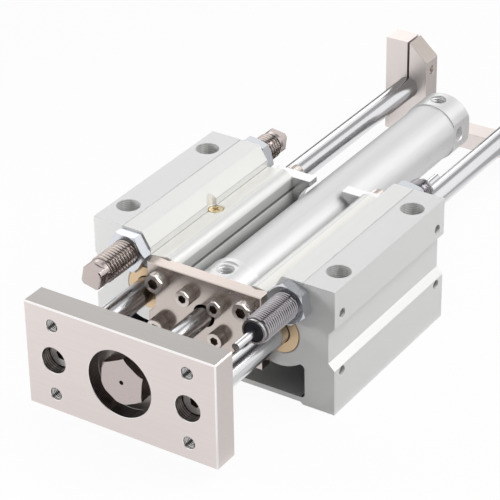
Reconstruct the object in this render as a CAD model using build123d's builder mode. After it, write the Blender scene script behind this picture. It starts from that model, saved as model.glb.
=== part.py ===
from build123d import *
from math import sqrt
import os

# Guided pneumatic cylinder, 25 mm bore and 150 mm stroke, in millimetres.
# The guide body is centred on X and Y and stands on Z = 0.
# The front plate faces -Y and all the guide and piston axes lie at one height.

os.makedirs("parts", exist_ok=True)

# Shared axes; the guide axis hangs below the top of the body
body_height = 67.0
axis_drop = 30.5
axis_z = body_height - axis_drop
guide_x = 37.0
stop_x = 45.0

# Fits
running_gap = 0.03
thread_gap = 0.05
seal_gap = 0.02

# Guide body extrusion
body_width = 135.0
body_length = 103.0
body_end = body_length / 2
foot_inner_x = 50.3
foot_bevel = 1.4
web_underside_z = 1.2
web_top_z = 3.8
side_groove_depth = 3.3
side_groove_z = (24.3, 27.7, body_height - 23.5, body_height - 19.7)
land_inner_x = 39.2
land_line_x = 50.3
land_line_depth = 0.5
step_x = 34.5
step_top_z = body_height - 7.8
shelf_outer_z = body_height - 11.4
shelf_inner_x = 25.0
shelf_inner_z = body_height - 10.0
shelf_edge_r = 5.0
channel_half = shelf_inner_x - shelf_edge_r
cavity_half = 51.3
cavity_top_z = 22.0
cavity_corner_r = 2.3
boss_r = 18.5
lug_outer_x = 33.0
lug_bottom_z = 18.4
relief_z = (axis_z + 9.5, axis_z + 11.0)
relief_depth = 1.2
mouth_chamfer = 0.8

# Holes of the guide body
mount_spacing_x = 118.5
mount_spacing_y = 68.5
mount_hole_r = 4.25
mount_counterbore_r = 6.0
mount_counterbore_depth = 10.0
side_hole_r = 2.5
side_hole_depth = 10.0
side_hole_y = 44.8
side_hole_z = (21.5, body_height - 14.2)

# Guide rods, bushings and wipers
guide_rod_r = 6.0
bushing_r = 11.0
bushing_length = 30.0
wiper_r = 7.2
wiper_depth = 2.5
wiper_inset = 1.0
wiper_mouth_r = 6.4

# Front plate
plate_width = 105.0
plate_height = 55.5
plate_thickness = 14.0
plate_rear_y = -112.5
plate_front_y = plate_rear_y - plate_thickness
plate_chamfer = 0.5
plate_hole_r = 3.0
plate_hole_spacing_z = 37.0
plate_hole_chamfer = 0.5
guide_pocket_r = 6.75
guide_pocket_depth = 10.5
nut_pocket_r = 17.3
nut_pocket_depth = 8.0

# Piston rod end
rod_stud_r = 4.0
rod_nut_flats = 22.0
rod_nut_height = 6.5
rod_nut_turn = 25.0
centre_mark_r = 1.0
centre_mark_depth = 0.9
stud_clearance = 0.25

# Guide rod screws, M8 with low heads
guide_screw_r = 4.0
guide_screw_head_r = 6.5
guide_screw_head_h = 4.5
guide_screw_length = 18.0
guide_screw_key = 5.0

# Cylinder
tube_r = 15.5
tube_bore_r = 12.5
tube_front_y = -30.0
tube_rear_y = 160.0
front_cover_r = 16.5
rear_cover_r = 16.25
rear_cover_length = 17.5
rear_flat_x = 14.5
rear_hole_r = 4.0
rear_hole_inset = 6.5
rear_hole_depth = 5.0
rear_hole_chamfer = 0.4
rear_edge_r = 2.0
spigot_length = 6.0
port_r = 4.5
port_spotface_r = 6.6
port_floor = 8.5
port_spotface_depth = 0.8
front_port_y = -39.5
rear_port_inset = 8.0
air_hole_r = 1.0
air_hole_radius = 9.5
rear_chamber_r = 8.0
rear_chamber_depth = 11.0
ring_groove_floor = 11.1
ring_groove_width = 1.8
ring_groove_inset = 2.1

# Piston rod, bearing and seal
rod_r = 5.0
rod_bush_r = 7.0
rod_seal_r = 8.5
rod_seal_length = 5.0

# Piston
piston_front_y = 105.5
piston_length = 20.0
piston_r = 12.4
seal_groove = (2.5, 6.5, 9.5)
magnet_groove = (8.5, 12.5, 9.0)
wear_groove = (14.5, 18.0, 11.2)
magnet_r = 12.2
piston_nut_flats = 13.0
piston_nut_height = 5.0

# Front bracket and rear retainer
bracket_half_w = 32.0
bracket_half_h = 19.7
bracket_thickness = 7.0
bracket_rod_hole_r = 6.0
guide_notch_r = 9.5
bracket_screw_x = 24.6
bracket_screw_dz = 12.4
bracket_clearance_r = 3.3
retainer_bottom_z = axis_z - 19.5
retainer_top_z = axis_z + 17.5
retainer_bore_r = 17.3
retainer_slot_half = 9.3
plate_edge_chamfer = 0.4

# M6 bracket screws and M5 cover screws
m6_r = 3.0
m6_head_r = 5.0
m6_key = 5.0
m6_length = 16.0
m5_r = 2.5
m5_head_r = 4.25
m5_key = 4.0
cover_screw_x = 8.8
cover_screw_dz = 8.7
cover_clearance_r = 2.75
cover_screw_length = 15.0
tapped_extra = 3.0

# Rear plate
rear_plate_half_w = 51.0
rear_plate_front_y = 201.0
rear_plate_thickness = 12.4
rear_plate_z = (axis_z - 28.5, axis_z + 27.3)
rear_arm_inner_x = 25.4
rear_web_top_z = axis_z - 18.8
rear_bevel_z = axis_z + 17.5
clamp_slit = 1.3
clamp_screw_z = axis_z + 11.0
clamp_head_depth = 5.6
clamp_head_clearance = 0.3
clamp_inner_gap = 2.0

# Stops: adjusters on the left, shock absorbers on the right
stop_bore_r = 7.0
stop_drop = 10.5
stop_nut_flats = 19.0
stop_nut_height = 6.5
adjuster_tips = (-85.2, 78.5)
adjuster_inner_ends = (-15.0, 10.0)
adjuster_square = 11.0
adjuster_square_length = 7.0
adjuster_square_turns = (10.0, 40.0)
stop_end_chamfer = 0.8
shock_faces = (-84.6, 70.4)
shock_length = 72.0
shock_rod_r = 2.0
shock_rod_reach = 14.6
shock_bore_r = 4.2
shock_piston_length = 5.0
shock_piston_inset = 18.6
shock_cap_r = 5.2
shock_cap_depth = 4.6
shock_cap_recess = 0.5
shock_end_wall = 7.4

# Lubrication plug
plug_x = -32.2
plug_y = 0.9
plug_head_r = 4.0
plug_pocket_r = 4.6
plug_seat_z = body_height - 11.1
plug_thread_r = 2.0
plug_length = 7.0
plug_cone_h = 2.0

# Derived sizes
body_half_w = body_width / 2
stop_z = body_height - stop_drop
rear_bevel_x = guide_x - clamp_slit / 2
rear_cover_end = tube_rear_y + rear_cover_length
rear_hole_y = tube_rear_y + rear_hole_inset
rear_port_y = tube_rear_y + rear_port_inset
rear_chamber_end = tube_rear_y + rear_chamber_depth
bracket_front_y = -body_end - bracket_thickness
retainer_rear_y = body_end + bracket_thickness
rear_plate_rear_y = rear_plate_front_y + rear_plate_thickness
stop_thread_r = stop_bore_r - thread_gap
m6_thread_r = m6_r - thread_gap
m5_thread_r = m5_r - thread_gap
nut_seat_y = plate_front_y + nut_pocket_depth
guide_seat_y = plate_front_y + guide_pocket_depth
piston_rear_y = piston_front_y + piston_length
sides = (("left", -1), ("right", 1))
bracket_points = [(sx * bracket_screw_x, axis_z + sz * bracket_screw_dz) for sx in (-1, 1) for sz in (-1, 1)]
cover_points = [(sx * cover_screw_x, axis_z + sz * cover_screw_dz) for sx in (-1, 1) for sz in (-1, 1)]
guide_points = [(sx * guide_x, axis_z) for sx in (-1, 1)]


def facing_front(y):
    """Plane across Y that looks to -Y; its own x and y run along X and Z."""
    return Plane(origin=(0, y, 0), x_dir=(1, 0, 0), z_dir=(0, -1, 0))


def facing_rear(y):
    """Plane across Y that looks to +Y; its own x runs along -X and its y along Z."""
    return Plane(origin=(0, y, 0), x_dir=(-1, 0, 0), z_dir=(0, 1, 0))


def facing_end(end, y):
    """Plane across Y that looks out of the front end (-1) or the rear end (+1)."""
    return facing_front(y) if end < 0 else facing_rear(y)


def socket_screw(head_r, head_h, shank_r, length, key, key_depth):
    """Socket head cap screw: head above Z = 0, shank below it."""
    with BuildPart() as screw:
        Cylinder(shank_r, length, align=(Align.CENTER, Align.CENTER, Align.MAX))
        Cylinder(head_r, head_h, align=(Align.CENTER, Align.CENTER, Align.MIN))
        chamfer(screw.faces().sort_by(Axis.Z)[-1].edges(), 0.4)
        with BuildSketch(Plane.XY.offset(head_h)):
            RegularPolygon(key / 2, 6, major_radius=False)
        extrude(amount=-key_depth, mode=Mode.SUBTRACT)
    return screw.part


def hex_nut(flats, height, hole_r, bevel):
    """Hexagon nut on Z = 0 with both of its faces turned down at the corners."""
    corner_r = flats / sqrt(3)
    with BuildPart() as nut:
        with BuildSketch():
            RegularPolygon(flats / 2, 6, major_radius=False)
        extrude(amount=height)
        with BuildSketch(Plane.XZ):
            with BuildLine():
                Polyline(
                    (0, 0),
                    (corner_r - bevel, 0),
                    (corner_r, bevel * 0.6),
                    (corner_r, height - bevel * 0.6),
                    (corner_r - bevel, height),
                    (0, height),
                    close=True,
                )
            make_face()
        revolve(axis=Axis.Z, mode=Mode.INTERSECT)
        Cylinder(hole_r, 4 * height, mode=Mode.SUBTRACT)
    return nut.part


def ring(inner_r, outer_r, length):
    """Plain ring that stands on Z = 0."""
    with BuildPart() as sleeve:
        with BuildSketch():
            Circle(outer_r)
            Circle(inner_r, mode=Mode.SUBTRACT)
        extrude(amount=length)
    return sleeve.part


# Guide body: one extruded section with bored bosses, a top channel and a cavity between the feet
with BuildPart() as guide_body:
    with BuildSketch(Plane.XZ) as section:
        with BuildLine():
            Polyline(
                (0, web_underside_z),
                (foot_inner_x - foot_bevel, web_underside_z),
                (foot_inner_x, 0),
                (body_half_w, 0),
                (body_half_w, side_groove_z[0]),
                (body_half_w - side_groove_depth, side_groove_z[1]),
                (body_half_w - side_groove_depth, side_groove_z[2]),
                (body_half_w, side_groove_z[3]),
                (body_half_w, body_height),
                (land_line_x + land_line_depth, body_height),
                (land_line_x, body_height - land_line_depth),
                (land_line_x - land_line_depth, body_height),
                (land_inner_x, body_height),
                (step_x, step_top_z),
                (step_x, shelf_outer_z),
                (shelf_inner_x, shelf_inner_z),
            )
            RadiusArc((shelf_inner_x, shelf_inner_z), (channel_half, shelf_inner_z - shelf_edge_r), -shelf_edge_r)
            Polyline((channel_half, shelf_inner_z - shelf_edge_r), (channel_half, web_top_z), (0, web_top_z))
            mirror(about=Plane.YZ)
        make_face()
        with Locations((0, (web_top_z + cavity_top_z) / 2)):
            RectangleRounded(2 * cavity_half, cavity_top_z - web_top_z, cavity_corner_r, mode=Mode.SUBTRACT)
        with Locations(*guide_points):
            Circle(boss_r)
        for _, sx in sides:
            with Locations((sx * (channel_half + lug_outer_x) / 2, (lug_bottom_z + axis_z) / 2)):
                Rectangle(lug_outer_x - channel_half, axis_z - lug_bottom_z)
            with Locations((sx * channel_half, sum(relief_z) / 2)):
                Rectangle(2 * relief_depth, relief_z[1] - relief_z[0], mode=Mode.SUBTRACT)
    extrude(amount=body_end, both=True)
    with BuildSketch(Plane.XZ):
        with Locations(*guide_points):
            Circle(bushing_r)
        with Locations((-stop_x, stop_z), (stop_x, stop_z)):
            Circle(stop_bore_r)
    extrude(amount=body_length, both=True, mode=Mode.SUBTRACT)
    bore_mouths = guide_body.edges().filter_by(lambda e: e.geom_type == GeomType.CIRCLE and e.radius > bushing_r - 0.1)
    chamfer(bore_mouths.filter_by(lambda e: abs(e.radius - bushing_r) < 0.01), mouth_chamfer)
    with Locations((0, 0, body_height)):
        with GridLocations(mount_spacing_x, mount_spacing_y, 2, 2):
            CounterBoreHole(mount_hole_r, mount_counterbore_r, mount_counterbore_depth)
    for sx in (-1, 1):
        with BuildSketch(Plane.YZ.offset(sx * body_half_w)):
            for z in side_hole_z:
                with Locations((-side_hole_y, z), (side_hole_y, z)):
                    Circle(side_hole_r)
        extrude(amount=-sx * side_hole_depth, mode=Mode.SUBTRACT)
    for end in (-1, 1):
        with BuildSketch(facing_end(end, end * body_end)):
            with Locations(*bracket_points):
                Circle(m6_r)
        extrude(amount=-(m6_length - bracket_thickness + tapped_extra), mode=Mode.SUBTRACT)
    with Locations((plug_x, plug_y, plug_seat_z)):
        Cylinder(plug_pocket_r, body_height, align=(Align.CENTER, Align.CENTER, Align.MIN), mode=Mode.SUBTRACT)
        Cone(plug_thread_r, plug_head_r, plug_cone_h, align=(Align.CENTER, Align.CENTER, Align.MAX), mode=Mode.SUBTRACT)
        Cylinder(plug_thread_r, axis_z, align=(Align.CENTER, Align.CENTER, Align.MAX), mode=Mode.SUBTRACT)
guide_body.part.label = "guide_body"
export_step(guide_body.part, "parts/guide_body.step")

# Guide bushings: bronze sleeves with a groove for the wiper near the outer end
for end, end_name in ((-1, "front"), (1, "rear")):
    for side, sx in sides:
        with BuildPart(facing_end(end, end * body_end)) as bushing:
            with Locations((sx * end * -guide_x, axis_z, 0)):
                Cylinder(bushing_r, bushing_length, align=(Align.CENTER, Align.CENTER, Align.MAX))
                Cylinder(guide_rod_r + running_gap, 3 * bushing_length, mode=Mode.SUBTRACT)
                Cylinder(wiper_mouth_r, 2 * wiper_inset, mode=Mode.SUBTRACT)
            with Locations((sx * end * -guide_x, axis_z, -wiper_inset)):
                Cylinder(wiper_r, wiper_depth, align=(Align.CENTER, Align.CENTER, Align.MAX), mode=Mode.SUBTRACT)
        bushing.part.label = f"bushing_{end_name}_{side}"
        export_step(bushing.part, f"parts/bushing_{end_name}_{side}.step")
        with BuildPart(facing_end(end, end * (body_end - wiper_inset - wiper_depth))) as wiper:
            with Locations((sx * end * -guide_x, axis_z, 0)):
                add(ring(guide_rod_r + 2 * seal_gap, wiper_r, wiper_depth))
        wiper.part.label = f"rod_wiper_{end_name}_{side}"
        export_step(wiper.part, f"parts/rod_wiper_{end_name}_{side}.step")

# Front plate: mounting face with the two guide screw pockets and the rod nut pocket
with BuildPart() as front_plate:
    with BuildSketch(facing_front(plate_rear_y)):
        with Locations((0, axis_z)):
            Rectangle(plate_width, plate_height)
    extrude(amount=plate_thickness)
    chamfer(front_plate.edges(), plate_chamfer)
    with BuildSketch(facing_front(plate_front_y)):
        with Locations(*guide_points):
            Circle(guide_pocket_r)
    extrude(amount=-guide_pocket_depth, mode=Mode.SUBTRACT)
    with BuildSketch(facing_front(plate_front_y)):
        with Locations((0, axis_z)):
            Circle(nut_pocket_r)
    extrude(amount=-nut_pocket_depth, mode=Mode.SUBTRACT)
    with BuildSketch(facing_front(plate_front_y)):
        with Locations((0, axis_z)):
            Circle(rod_stud_r + stud_clearance)
        with Locations(*guide_points):
            Circle(guide_screw_r + stud_clearance)
    extrude(amount=-plate_thickness, mode=Mode.SUBTRACT)
    with Locations(facing_front(plate_front_y).location * Location((0, axis_z, 0))):
        with GridLocations(2 * guide_x, plate_hole_spacing_z, 2, 2):
            CounterSinkHole(plate_hole_r, plate_hole_r + plate_hole_chamfer, plate_thickness, 90)
front_plate.part.label = "front_plate"
export_step(front_plate.part, "parts/front_plate.step")

# Guide rods: ground shafts tapped at the front end
for side, sx in sides:
    with BuildPart(facing_front(plate_rear_y)) as guide_rod:
        with Locations((sx * guide_x, axis_z, 0)):
            Cylinder(guide_rod_r, rear_plate_rear_y - plate_rear_y, align=(Align.CENTER, Align.CENTER, Align.MAX))
            Cylinder(guide_screw_r, 2 * guide_screw_length, mode=Mode.SUBTRACT)
    guide_rod.part.label = f"guide_rod_{side}"
    export_step(guide_rod.part, f"parts/guide_rod_{side}.step")

# Guide rod screws: low head screws that clamp the front plate to the rods
guide_screw = socket_screw(
    guide_screw_head_r, guide_screw_head_h, guide_screw_r - thread_gap, guide_screw_length, guide_screw_key, 3.0
)
with BuildPart(facing_front(guide_seat_y)) as guide_rod_screws:
    with Locations(*guide_points):
        add(guide_screw)
guide_rod_screws.part.label = "guide_rod_screws"
export_step(guide_rod_screws.part, "parts/guide_rod_screws.step")

# Rod end nut: closed hexagon nut in the pocket of the front plate
with BuildPart(facing_front(nut_seat_y)) as rod_end_nut:
    with Locations(Location((0, axis_z, 0), (0, 0, rod_nut_turn))):
        add(hex_nut(rod_nut_flats, rod_nut_height, rod_stud_r, 1.2))
        with Locations((0, 0, rod_nut_height - 1.5)):
            Cylinder(rod_stud_r + 1, 1.5, align=(Align.CENTER, Align.CENTER, Align.MIN))
        with Locations((0, 0, rod_nut_height)):
            Cone(
                0.1,
                centre_mark_r,
                centre_mark_depth,
                align=(Align.CENTER, Align.CENTER, Align.MAX),
                mode=Mode.SUBTRACT,
            )
rod_end_nut.part.label = "rod_end_nut"
export_step(rod_end_nut.part, "parts/rod_end_nut.step")

# Front bracket: holds the cylinder to the body and keeps the bushings in
with BuildPart() as cylinder_bracket:
    with BuildSketch(facing_front(-body_end)):
        with Locations((0, axis_z)):
            Rectangle(2 * bracket_half_w, 2 * bracket_half_h)
            Circle(bracket_rod_hole_r, mode=Mode.SUBTRACT)
        with Locations(*guide_points):
            Circle(guide_notch_r, mode=Mode.SUBTRACT)
        with Locations(*bracket_points):
            Circle(bracket_clearance_r, mode=Mode.SUBTRACT)
        with Locations(*cover_points):
            Circle(cover_clearance_r, mode=Mode.SUBTRACT)
    extrude(amount=bracket_thickness)
    straight = cylinder_bracket.faces().sort_by(Axis.Y)[0].outer_wire().edges().filter_by(GeomType.LINE)
    chamfer(straight, plate_edge_chamfer)
cylinder_bracket.part.label = "cylinder_bracket"
export_step(cylinder_bracket.part, "parts/cylinder_bracket.step")

# Rear retainer: keeps the rear bushings in and lets the tube pass
with BuildPart() as bushing_retainer:
    with BuildSketch(facing_rear(body_end)):
        with Locations((0, (retainer_bottom_z + retainer_top_z) / 2)):
            Rectangle(2 * bracket_half_w, retainer_top_z - retainer_bottom_z)
        with Locations((0, axis_z)):
            Circle(retainer_bore_r, mode=Mode.SUBTRACT)
        with Locations((0, body_height)):
            Rectangle(2 * retainer_slot_half, 2 * (body_height - axis_z), mode=Mode.SUBTRACT)
        with Locations(*guide_points):
            Circle(guide_notch_r, mode=Mode.SUBTRACT)
        with Locations(*bracket_points):
            Circle(bracket_clearance_r, mode=Mode.SUBTRACT)
    extrude(amount=bracket_thickness)
bushing_retainer.part.label = "bushing_retainer"
export_step(bushing_retainer.part, "parts/bushing_retainer.step")

# Bracket, retainer and cover screws
m6_screw = socket_screw(m6_head_r, 2 * m6_r, m6_thread_r, m6_length, m6_key, 3.0)
m5_screw = socket_screw(m5_head_r, 2 * m5_r, m5_thread_r, cover_screw_length, m5_key, 2.5)
with BuildPart(facing_front(bracket_front_y)) as bracket_screws:
    with Locations(*bracket_points):
        add(m6_screw)
bracket_screws.part.label = "bracket_screws"
export_step(bracket_screws.part, "parts/bracket_screws.step")

with BuildPart(facing_rear(retainer_rear_y)) as retainer_screws:
    with Locations(*bracket_points):
        add(m6_screw)
retainer_screws.part.label = "retainer_screws"
export_step(retainer_screws.part, "parts/retainer_screws.step")

with BuildPart(facing_front(bracket_front_y)) as cover_screws:
    with Locations(*cover_points):
        add(m5_screw)
cover_screws.part.label = "cover_screws"
export_step(cover_screws.part, "parts/cover_screws.step")

# Cylinder tube
with BuildPart(facing_front(tube_front_y)) as cylinder_tube:
    with Locations((0, axis_z, tube_front_y - tube_rear_y)):
        add(ring(tube_bore_r, tube_r, tube_rear_y - tube_front_y))
cylinder_tube.part.label = "cylinder_tube"
export_step(cylinder_tube.part, "parts/cylinder_tube.step")

# Front cover: rod bearing, seal pocket, air port and the four screw holes
with BuildPart(facing_rear(-body_end)) as front_cover:
    with Locations((0, axis_z, 0)):
        Cylinder(front_cover_r, tube_front_y + body_end, align=(Align.CENTER, Align.CENTER, Align.MIN))
        Cylinder(tube_bore_r, tube_front_y + body_end + spigot_length, align=(Align.CENTER, Align.CENTER, Align.MIN))
        Cylinder(rod_bush_r, 4 * body_length, mode=Mode.SUBTRACT)
        Cylinder(rod_seal_r, 2 * rod_seal_length, mode=Mode.SUBTRACT)
        with Locations((0, 0, tube_front_y + body_end + ring_groove_inset)):
            add(ring(ring_groove_floor, tube_bore_r, ring_groove_width), mode=Mode.SUBTRACT)
    with BuildSketch(facing_front(-body_end)):
        with Locations(*cover_points):
            Circle(m5_r)
    extrude(amount=-(cover_screw_length - bracket_thickness + tapped_extra), mode=Mode.SUBTRACT)
    with BuildSketch(Plane.XY.offset(axis_z + port_floor)):
        with Locations((0, front_port_y)):
            Circle(port_r)
    extrude(amount=front_cover_r, mode=Mode.SUBTRACT)
    with BuildSketch(Plane.XY.offset(axis_z + front_cover_r - port_spotface_depth)):
        with Locations((0, front_port_y)):
            Circle(port_spotface_r)
    extrude(amount=front_cover_r, mode=Mode.SUBTRACT)
    with BuildSketch(facing_rear(front_port_y)):
        with Locations((0, axis_z + air_hole_radius)):
            Circle(air_hole_r)
    extrude(amount=2 * front_cover_r, mode=Mode.SUBTRACT)
front_cover.part.label = "front_cover"
export_step(front_cover.part, "parts/front_cover.step")

# Rear cover: rounded closed end with two flats, an air port and the rear chamber
with BuildPart(facing_front(rear_cover_end)) as rear_cover:
    with Locations((0, axis_z, 0)):
        Cylinder(rear_cover_r, rear_cover_end - tube_rear_y, align=(Align.CENTER, Align.CENTER, Align.MIN))
        fillet(rear_cover.faces().sort_by(Axis.Y)[-1].edges(), rear_edge_r)
        Cylinder(
            tube_bore_r, rear_cover_end - tube_rear_y + spigot_length, align=(Align.CENTER, Align.CENTER, Align.MIN)
        )
        with Locations((0, 0, rear_cover_end - rear_chamber_end)):
            Cylinder(rear_chamber_r, tube_rear_y, align=(Align.CENTER, Align.CENTER, Align.MIN), mode=Mode.SUBTRACT)
        with Locations((0, 0, rear_cover_end - tube_rear_y + ring_groove_inset)):
            add(ring(ring_groove_floor, tube_bore_r, ring_groove_width), mode=Mode.SUBTRACT)
    for sx in (-1, 1):
        with BuildSketch(Plane.YZ.offset(sx * rear_flat_x)):
            with Locations((tube_rear_y + rear_cover_r, axis_z)):
                Rectangle(2 * rear_cover_r, 3 * rear_cover_r)
        extrude(amount=sx * rear_cover_r, mode=Mode.SUBTRACT)
        with BuildSketch(Plane.YZ.offset(sx * rear_flat_x)):
            with Locations((rear_hole_y, axis_z)):
                Circle(rear_hole_r)
        extrude(amount=-sx * rear_hole_depth, mode=Mode.SUBTRACT)
        mouths = rear_cover.edges().filter_by(GeomType.CIRCLE).filter_by(lambda e: abs(e.radius - rear_hole_r) < 0.01)
        chamfer(mouths.filter_by(lambda e: abs(abs(e.center().X) - rear_flat_x) < 0.01), rear_hole_chamfer)
    for hole_r, floor_z in ((port_r, axis_z + port_floor), (air_hole_r, axis_z)):
        with BuildSketch(Plane.XY.offset(floor_z)):
            with Locations((0, rear_port_y)):
                Circle(hole_r)
        extrude(amount=2 * rear_cover_r, mode=Mode.SUBTRACT)
rear_cover.part.label = "rear_cover"
export_step(rear_cover.part, "parts/rear_cover.step")

# Static seals on the two cover spigots
for name, y in (("front_cover_seal", tube_front_y), ("rear_cover_seal", tube_rear_y)):
    toward = 1 if y < 0 else -1
    with BuildPart(facing_end(toward, y + toward * ring_groove_inset)) as cover_seal:
        with Locations((0, axis_z, 0)):
            add(ring(ring_groove_floor, tube_bore_r, ring_groove_width))
    cover_seal.part.label = name
    export_step(cover_seal.part, f"parts/{name}.step")

# Rod bearing and rod seal inside the front cover
with BuildPart(facing_rear(-body_end + rod_seal_length)) as rod_bush:
    with Locations((0, axis_z, 0)):
        add(ring(rod_r + running_gap, rod_bush_r, tube_front_y + spigot_length + body_end - rod_seal_length))
rod_bush.part.label = "rod_bush"
export_step(rod_bush.part, "parts/rod_bush.step")

with BuildPart(facing_rear(-body_end)) as rod_seal:
    with Locations((0, axis_z, 0)):
        add(ring(rod_r + seal_gap, rod_seal_r, rod_seal_length))
rod_seal.part.label = "rod_seal"
export_step(rod_seal.part, "parts/rod_seal.step")

# Piston rod: shaft between the front plate and the piston, with a stud at each end
stud_front_y = nut_seat_y - (rod_nut_height - 1.5) + 0.3
stud_rear_y = piston_rear_y + piston_nut_height + 1.0
with BuildPart(facing_front(0)) as piston_rod:
    with Locations((0, axis_z, -piston_front_y)):
        Cylinder(rod_r, piston_front_y - plate_rear_y, align=(Align.CENTER, Align.CENTER, Align.MIN))
    with Locations((0, axis_z, -stud_rear_y)):
        Cylinder(rod_stud_r, stud_rear_y - stud_front_y, align=(Align.CENTER, Align.CENTER, Align.MIN))
piston_rod.part.label = "piston_rod"
export_step(piston_rod.part, "parts/piston_rod.step")

# Piston with its seal, magnet, wear ring and nut
grooves = {"piston_seal": seal_groove, "magnet_ring": magnet_groove, "wear_ring": wear_groove}
outer = {"piston_seal": tube_bore_r - seal_gap, "magnet_ring": magnet_r, "wear_ring": tube_bore_r - running_gap}
with BuildPart(facing_rear(piston_front_y)) as piston:
    with Locations((0, axis_z, 0)):
        add(ring(rod_stud_r, piston_r, piston_length))
    for start, stop, floor_r in grooves.values():
        with Locations((0, axis_z, start)):
            add(ring(floor_r, piston_r + 1, stop - start), mode=Mode.SUBTRACT)
piston.part.label = "piston"
export_step(piston.part, "parts/piston.step")

for name, (start, stop, floor_r) in grooves.items():
    with BuildPart(facing_rear(piston_front_y)) as piston_ring:
        with Locations((0, axis_z, start)):
            add(ring(floor_r, outer[name], stop - start))
    piston_ring.part.label = name
    export_step(piston_ring.part, f"parts/{name}.step")

with BuildPart(facing_rear(piston_rear_y)) as piston_nut:
    with Locations((0, axis_z, 0)):
        add(hex_nut(piston_nut_flats, piston_nut_height, rod_stud_r, 0.8))
piston_nut.part.label = "piston_nut"
export_step(piston_nut.part, "parts/piston_nut.step")

# Rear plate: fork that ties the guide rods together and clamps on them
rear_plate_outline = [
    (rear_plate_half_w, rear_plate_z[0]),
    (rear_plate_half_w, rear_plate_z[1]),
    (rear_bevel_x, rear_plate_z[1]),
    (rear_arm_inner_x, rear_bevel_z),
    (rear_arm_inner_x, rear_web_top_z),
]
with BuildPart() as rear_plate:
    with BuildSketch(facing_front(rear_plate_front_y)):
        with BuildLine():
            Polyline((0, rear_plate_z[0]), *rear_plate_outline, (0, rear_web_top_z))
            mirror(about=Plane.YZ)
        make_face()
        for _, sx in sides:
            with Locations((sx * guide_x, rear_plate_z[1])):
                Rectangle(clamp_slit, 2 * (rear_plate_z[1] - axis_z), mode=Mode.SUBTRACT)
            with Locations((sx * guide_x, axis_z)):
                Circle(guide_rod_r, mode=Mode.SUBTRACT)
    extrude(amount=-rear_plate_thickness)
    for _, sx in sides:
        with Locations(
            Location((sx * rear_plate_half_w, rear_plate_front_y + rear_plate_thickness / 2, clamp_screw_z), (0, sx * 90, 0))
        ):
            CounterBoreHole(m5_r, m5_head_r + clamp_head_clearance, clamp_head_depth, rear_plate_half_w - rear_arm_inner_x + 1)
rear_plate.part.label = "rear_plate"
export_step(rear_plate.part, "parts/rear_plate.step")

# Clamp screws in the two arms of the rear plate
clamp_length = rear_plate_half_w - clamp_head_depth - rear_arm_inner_x - clamp_inner_gap
clamp_screw = socket_screw(m5_head_r, 2 * m5_r, m5_thread_r, clamp_length, m5_key, 2.5)
with BuildPart() as rod_clamp_screws:
    for _, sx in sides:
        head_x = sx * (rear_plate_half_w - clamp_head_depth)
        with Locations(Location((head_x, rear_plate_front_y + rear_plate_thickness / 2, clamp_screw_z), (0, sx * 90, 0))):
            add(clamp_screw)
rod_clamp_screws.part.label = "rod_clamp_screws"
export_step(rod_clamp_screws.part, "parts/rod_clamp_screws.step")

# Adjusters on the left: threaded bolts with a square outer end, and their lock nuts
for index, (end, end_name) in enumerate(((-1, "front"), (1, "rear"))):
    tip_y = adjuster_tips[index]
    length = abs(tip_y - adjuster_inner_ends[index])
    with BuildPart(facing_end(end, tip_y)) as adjuster:
        with Locations((end * stop_x, stop_z, -adjuster_square_length)):
            Cylinder(stop_thread_r, length - adjuster_square_length, align=(Align.CENTER, Align.CENTER, Align.MAX))
            chamfer(adjuster.edges(), stop_end_chamfer)
        with BuildSketch(facing_end(end, tip_y)):
            with Locations(Location((end * stop_x, stop_z, 0), (0, 0, adjuster_square_turns[index]))):
                RectangleRounded(adjuster_square, adjuster_square, 2.2)
        extrude(amount=-adjuster_square_length)
        chamfer(adjuster.faces().sort_by(Axis.Y)[0 if end < 0 else -1].edges(), stop_end_chamfer)
    adjuster.part.label = f"{end_name}_adjuster"
    export_step(adjuster.part, f"parts/{end_name}_adjuster.step")

# Lock nuts of the stops, seated on the ends of the body
stop_nut = hex_nut(stop_nut_flats, stop_nut_height, stop_bore_r, 1.3)
nut_turns = {"front_adjuster_nut": 0, "rear_adjuster_nut": 12, "front_shock_nut": -20, "rear_shock_nut": 7}
for index, (end, end_name) in enumerate(((-1, "front"), (1, "rear"))):
    for kind, sx in (("adjuster", -1), ("shock", 1)):
        name = f"{end_name}_{kind}_nut"
        with BuildPart(facing_end(end, end * body_end)) as lock_nut:
            with Locations(Location((sx * -end * stop_x, stop_z, 0), (0, 0, nut_turns[name]))):
                add(stop_nut)
        lock_nut.part.label = name
        export_step(lock_nut.part, f"parts/{name}.step")

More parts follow.
